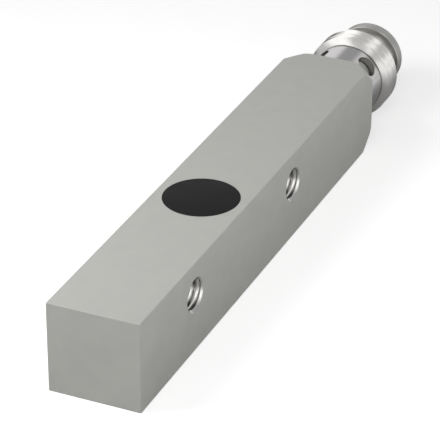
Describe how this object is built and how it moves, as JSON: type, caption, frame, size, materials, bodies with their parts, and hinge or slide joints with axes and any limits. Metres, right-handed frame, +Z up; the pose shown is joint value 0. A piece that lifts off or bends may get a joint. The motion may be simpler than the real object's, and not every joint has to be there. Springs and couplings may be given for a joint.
{
  "type": "inductive proximity sensor",
  "caption": "Square bar inductive proximity sensor: round sensing face on top, threaded cross holes, lamp windows and a plug connector on the rear end.",
  "frame": {"origin": "under the middle of the whole sensor, on the plane that the bar rests on", "axes": "+Y along the bar from the plain front end to the connector, +Z up out of the sensing face, +X across the bar"},
  "size_m": [0.008, 0.059, 0.008],
  "materials": {
    "housing_metal": "satin",
    "connector_nickel": "polished",
    "cap_plastic": "matte",
    "ferrite": "matte",
    "bobbin_plastic": "satin",
    "winding_copper": "satin",
    "board_laminate": "satin",
    "chip_mould": "matte",
    "capacitor_ceramic": "satin",
    "resistor_ceramic": "satin",
    "lamp_resin": "gloss",
    "guide_plastic": "satin",
    "insulator_plastic": "satin",
    "contact_gold": "polished",
    "seal_rubber": "matte",
    "wire_brown": "satin",
    "wire_blue": "satin",
    "wire_black": "satin",
    "casting_resin": "satin"
  },
  "bodies": {
    "root": {"capacitor_1": "capacitor_ceramic", "capacitor_2": "capacitor_ceramic", "carrier_seal": "seal_rubber", "circuit_board": "board_laminate", "coil_bobbin": "bobbin_plastic", "coil_lead_1": "winding_copper", "coil_lead_2": "winding_copper", "coil_winding": "winding_copper", "connector_sleeve": "connector_nickel", "contact_carrier": "insulator_plastic", "contact_pin_1": "contact_gold", "contact_pin_3": "contact_gold", "contact_pin_4": "contact_gold", "ferrite_core": "ferrite", "housing": "housing_metal", "indicator_lamp_1": "lamp_resin", "indicator_lamp_2": "lamp_resin", "lamp_board": "board_laminate", "light_guide": "guide_plastic", "oscillator_chip": "chip_mould", "output_transistor": "chip_mould", "pin_wire_1": "wire_brown", "pin_wire_3": "wire_blue", "pin_wire_4": "wire_black", "potting_resin": "casting_resin", "protection_diode": "chip_mould", "resistor_1": "resistor_ceramic", "resistor_2": "resistor_ceramic", "resistor_3": "resistor_ceramic", "sensing_cap": "cap_plastic"}
  },
  "joints": []
}
